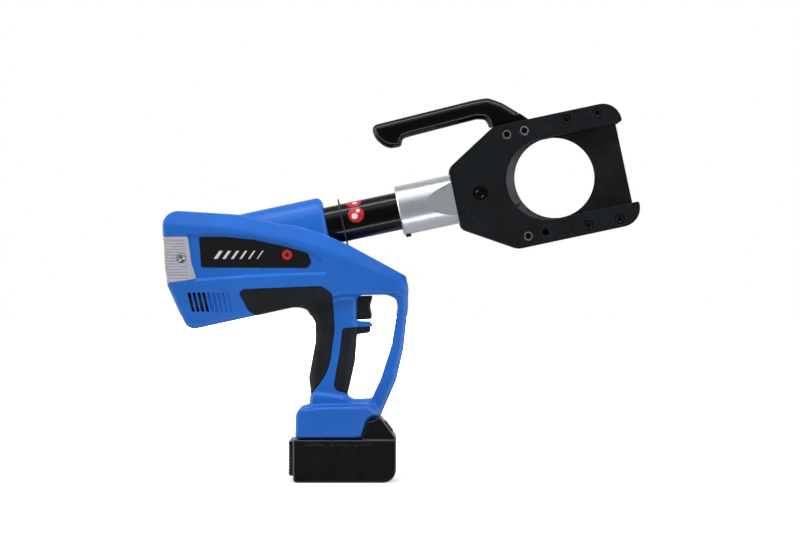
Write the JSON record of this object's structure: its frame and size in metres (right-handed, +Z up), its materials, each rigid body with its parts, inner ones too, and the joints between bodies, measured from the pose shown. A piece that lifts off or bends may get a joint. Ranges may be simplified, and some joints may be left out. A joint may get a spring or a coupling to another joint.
{
  "type": "cable cutter",
  "caption": "Battery hydraulic cable cutter with a swivelling guillotine head, carry handle, blue pistol-grip housing and slide-in battery.",
  "frame": {"origin": "centre of the battery's flat bottom face", "axes": "+X towards the cutting head, +Z up, -Y is the tool's right side; the hydraulic axis rises 12 degrees towards the head"},
  "size_m": [0.5024, 0.075, 0.4045],
  "materials": {
    "body_plastic": "satin moulded blue plastic",
    "grip_rubber": "matt black soft rubber",
    "cap_plastic": "silver grey painted plastic with moulded ribs",
    "label_film": "glossy black film",
    "black_plastic": "fine grained black plastic",
    "gloss_black": "gloss black",
    "phosphated_steel": "black phosphated steel",
    "blade_steel": "blackened tool steel with a ground edge",
    "satin_nickel": "satin nickel plated steel",
    "bright_steel": "ground steel",
    "cast_aluminium": "cast aluminium",
    "motor_steel": "plated steel",
    "brass": "brass contacts",
    "seal_rubber": "black nitrile rubber",
    "cell_wrap": "shrink wrap"
  },
  "bodies": {
    "housing": {"housing_right": "body_plastic", "housing_left": "body_plastic", "hydraulic_cylinder": "gloss_black", "return_spring": "bright_steel", "swivel_ring": "black_plastic", "pump_block": "cast_aluminium", "plunger_spring": "bright_steel", "oil_bladder": "seal_rubber", "motor_can": "motor_steel", "ring_gear": "motor_steel", "trigger_switch": "black_plastic", "rear_cap": "cap_plastic", "rear_cap_screw_right": "bright_steel", "rear_cap_screw_left": "bright_steel", "label_plate_right": "label_film", "label_plate_left": "label_film", "back_grip": "grip_rubber", "front_grip": "grip_rubber", "housing_screw_nose": "motor_steel", "housing_screw_middle": "motor_steel", "housing_screw_bridge": "motor_steel", "housing_screw_foot": "motor_steel", "battery_terminals": "brass"},
    "head": {"cheek_plate_right": "phosphated_steel", "cheek_plate_left": "phosphated_steel", "fixed_blade": "blade_steel", "upper_blade_rail": "phosphated_steel", "lower_blade_rail": "phosphated_steel", "lower_spacer": "phosphated_steel", "carry_handle": "gloss_black", "head_collar": "satin_nickel", "collar_pin_upper": "phosphated_steel", "collar_pin_lower": "phosphated_steel", "rail_dowel_upper": "phosphated_steel", "rail_dowel_lower": "phosphated_steel", "handle_screw_rear": "phosphated_steel", "handle_screw_front": "phosphated_steel", "spacer_screw": "phosphated_steel", "blade_screw_upper_rear": "phosphated_steel", "blade_screw_upper_front": "phosphated_steel", "blade_screw_lower_rear": "phosphated_steel", "blade_screw_lower_front": "phosphated_steel", "collar_set_screw": "phosphated_steel"},
    "ram": {"ram_rod": "bright_steel", "piston": "bright_steel", "piston_seal": "seal_rubber", "moving_blade": "blade_steel", "blade_pin": "phosphated_steel"},
    "trigger": {"trigger": "black_plastic"},
    "battery": {"battery_case": "black_plastic", "battery_lid": "black_plastic", "battery_cells": "cell_wrap"},
    "battery_latch": {"battery_latch": "black_plastic"},
    "rotor": {"motor_rotor": "motor_steel"},
    "carrier": {"planet_carrier": "bright_steel"},
    "planet_1": {"planet_gear_1": "bright_steel"},
    "planet_2": {"planet_gear_2": "bright_steel"},
    "planet_3": {"planet_gear_3": "bright_steel"},
    "plunger": {"pump_plunger": "bright_steel"}
  },
  "joints": [
    {"name": "head_swivel", "type": "hinge", "parent": "housing", "child": "head", "pos_m": [0.0676, 0, 0.28773], "axis": [0.9781, 0, 0.2079], "range_deg": [-150, 150]},
    {"name": "ram_stroke", "type": "slide", "parent": "head", "child": "ram", "axis": [0.9781, 0, 0.2079], "range_m": [0, 0.086], "deforming": ["return_spring"]},
    {"name": "trigger_pull", "type": "slide", "parent": "housing", "child": "trigger", "axis": [-1, 0, 0], "range_m": [0, 0.006], "stiffness_N_per_m": 900, "springref_m": -0.004},
    {"name": "battery_slide", "type": "slide", "parent": "housing", "child": "battery", "axis": [1, 0, 0], "range_m": [0, 0.11]},
    {"name": "latch_press", "type": "slide", "parent": "battery", "child": "battery_latch", "axis": [-0.797, 0, -0.604], "range_m": [0, 0.003], "stiffness_N_per_m": 1200, "springref_m": -0.002},
    {"name": "rotor_spin", "type": "hinge", "parent": "housing", "child": "rotor", "pos_m": [-0.1372, 0, 0.19309], "axis": [0.9781, 0, 0.2079], "continuous": true},
    {"name": "carrier_spin", "type": "hinge", "parent": "housing", "child": "carrier", "pos_m": [-0.09807, 0, 0.2014], "axis": [0.9781, 0, 0.2079], "continuous": true},
    {"name": "plunger_stroke", "type": "slide", "parent": "housing", "child": "plunger", "axis": [-0.2079, 0, 0.9781], "range_m": [0, 0.004], "deforming": ["plunger_spring"]},
    {"name": "planet_1_spin", "type": "hinge", "parent": "carrier", "child": "planet_1", "pos_m": [-0.10766, 0, 0.21041], "axis": [0.9781, 0, 0.2079], "continuous": true},
    {"name": "planet_2_spin", "type": "hinge", "parent": "carrier", "child": "planet_2", "pos_m": [-0.10429, 0.00935, 0.19456], "axis": [0.9781, 0, 0.2079], "continuous": true},
    {"name": "planet_3_spin", "type": "hinge", "parent": "carrier", "child": "planet_3", "pos_m": [-0.10429, -0.00935, 0.19456], "axis": [0.9781, 0, 0.2079], "continuous": true}
  ],
  "couplings": [
    {"joint": "carrier_spin", "follows": "rotor_spin", "ratio": 0.22222},
    {"joint": "planet_1_spin", "follows": "rotor_spin", "ratio": -0.62222},
    {"joint": "planet_2_spin", "follows": "rotor_spin", "ratio": -0.62222},
    {"joint": "planet_3_spin", "follows": "rotor_spin", "ratio": -0.62222}
  ]
}
